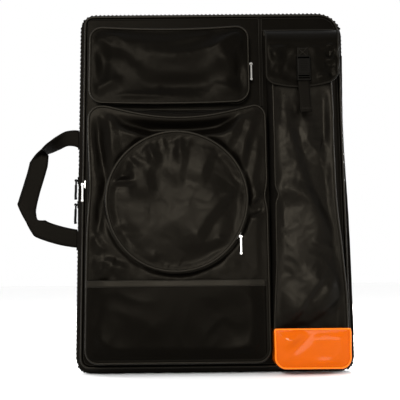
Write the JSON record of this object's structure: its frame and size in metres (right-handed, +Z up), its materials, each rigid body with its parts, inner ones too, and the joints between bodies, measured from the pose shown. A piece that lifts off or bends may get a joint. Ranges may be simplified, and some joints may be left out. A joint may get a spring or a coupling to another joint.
{
  "type": "portfolio case",
  "caption": "Soft zip-round portfolio case for drawing boards, with zipped front pockets, a buckled flap over a long pocket, an end patch and a side carry handle.",
  "frame": {"origin": "on the ground under the case, in the middle of its width, on the bottom edge of the back half's zip chain", "axes": "+Z up along the case's height, the front cover faces -Y, +X to the right seen from the front"},
  "size_m": [0.606, 0.1033, 0.65],
  "materials": {
    "black_nylon": "satin",
    "binding_tape": "matte",
    "lining_cloth": "matte",
    "stiffener_board": "matte",
    "zip_nylon": "satin",
    "webbing": "matte",
    "buckle_plastic": "satin",
    "orange_pvc": "gloss",
    "silver_metal": "satin",
    "black_metal": "satin"
  },
  "bodies": {
    "back_half": {"back_zip": "zip_nylon", "back_gusset": "black_nylon", "back_panel": "black_nylon", "back_board": "stiffener_board", "back_lining": "lining_cloth", "back_piping": "binding_tape", "back_spine": "black_nylon", "handle_anchors": "webbing"},
    "front_cover": {"front_zip": "zip_nylon", "front_gusset": "black_nylon", "front_panel": "black_nylon", "front_board": "stiffener_board", "front_lining": "lining_cloth", "front_piping": "binding_tape", "front_spine": "black_nylon", "divider_tape": "webbing", "top_pocket_gusset": "black_nylon", "top_pocket_zip": "zip_nylon", "top_pocket_face": "black_nylon", "top_pocket_piping": "binding_tape", "large_pocket_gusset": "black_nylon", "large_pocket_zip": "zip_nylon", "large_pocket_face": "black_nylon", "large_pocket_piping": "binding_tape", "round_pocket_gusset": "black_nylon", "round_pocket_zip": "zip_nylon", "round_pocket_face": "black_nylon", "round_pocket_piping": "binding_tape", "slip_pocket": "black_nylon", "slip_pocket_hem": "binding_tape", "long_pocket": "black_nylon", "long_pocket_piping": "binding_tape", "end_patch": "orange_pvc", "flap_seam_strip": "black_nylon"},
    "flap": {"flap": "black_nylon", "flap_binding": "binding_tape", "flap_webbing": "webbing", "buckle_socket": "buckle_plastic"},
    "buckle_plug": {"buckle_plug": "buckle_plastic", "strap_tail": "webbing"},
    "handle": {"handle_loop": "webbing"},
    "main_upper_slider": {"main_upper_slider": "black_metal"},
    "main_upper_pull": {"main_upper_pull": "black_metal"},
    "main_lower_slider": {"main_lower_slider": "black_metal"},
    "main_lower_pull": {"main_lower_pull": "black_metal"},
    "top_pocket_slider": {"top_pocket_slider": "silver_metal"},
    "top_pocket_pull": {"top_pocket_pull": "silver_metal"},
    "large_pocket_slider": {"large_pocket_slider": "silver_metal"},
    "large_pocket_pull": {"large_pocket_pull": "silver_metal"},
    "round_pocket_slider": {"round_pocket_slider": "silver_metal"},
    "round_pocket_pull": {"round_pocket_pull": "silver_metal"}
  },
  "joints": [
    {"name": "cover_hinge", "type": "hinge", "parent": "back_half", "child": "front_cover", "pos_m": [0.2445, -0.0003, 0.3145], "axis": [0, 0, 1], "range_deg": [0, 180]},
    {"name": "flap_hinge", "type": "hinge", "parent": "front_cover", "child": "flap", "pos_m": [0.158, -0.029, 0.60525], "axis": [-1, 0, 0], "range_deg": [0, 80]},
    {"name": "buckle_release", "type": "slide", "parent": "flap", "child": "buckle_plug", "axis": [0, 0, -1], "range_m": [0, 0.03]},
    {"name": "handle_swing", "type": "hinge", "parent": "back_half", "child": "handle", "pos_m": [-0.2468, 0.0095, 0.3235], "axis": [0, 0, 1], "range_deg": [-80, 80]},
    {"name": "main_upper_zip", "type": "slide", "parent": "back_half", "child": "main_upper_slider", "axis": [0, 0, 1], "range_m": [0, 0.255]},
    {"name": "main_upper_pull_swing", "type": "hinge", "parent": "main_upper_slider", "child": "main_upper_pull", "pos_m": [-0.2484, 0, 0.34], "axis": [0, 1, 0], "range_deg": [0, 120]},
    {"name": "main_lower_zip", "type": "slide", "parent": "back_half", "child": "main_lower_slider", "axis": [0, 0, -1], "range_m": [0, 0.24]},
    {"name": "main_lower_pull_swing", "type": "hinge", "parent": "main_lower_slider", "child": "main_lower_pull", "pos_m": [-0.2484, 0, 0.296], "axis": [0, 1, 0], "range_deg": [0, 120]},
    {"name": "top_pocket_zip_run", "type": "slide", "parent": "front_cover", "child": "top_pocket_slider", "axis": [0, 0, 1], "range_m": [0, 0.04]},
    {"name": "top_pocket_pull_swing", "type": "hinge", "parent": "top_pocket_slider", "child": "top_pocket_pull", "pos_m": [0.0699, -0.037, 0.543], "axis": [0, -1, 0], "range_deg": [0, 60]},
    {"name": "large_pocket_zip_run", "type": "slide", "parent": "front_cover", "child": "large_pocket_slider", "axis": [0, 0, 1], "range_m": [0, 0.11]},
    {"name": "large_pocket_pull_swing", "type": "hinge", "parent": "large_pocket_slider", "child": "large_pocket_pull", "pos_m": [-0.2269, -0.051, 0.325], "axis": [0, 1, 0], "range_deg": [0, 120]},
    {"name": "round_pocket_zip_run", "type": "hinge", "parent": "front_cover", "child": "round_pocket_slider", "pos_m": [-0.064, -0.063, 0.294], "axis": [0, -1, 0], "range_deg": [0, 240]},
    {"name": "round_pocket_pull_swing", "type": "hinge", "parent": "round_pocket_slider", "child": "round_pocket_pull", "pos_m": [0.04417, -0.063, 0.23155], "axis": [0, -1, 0], "range_deg": [0, 120]}
  ]
}
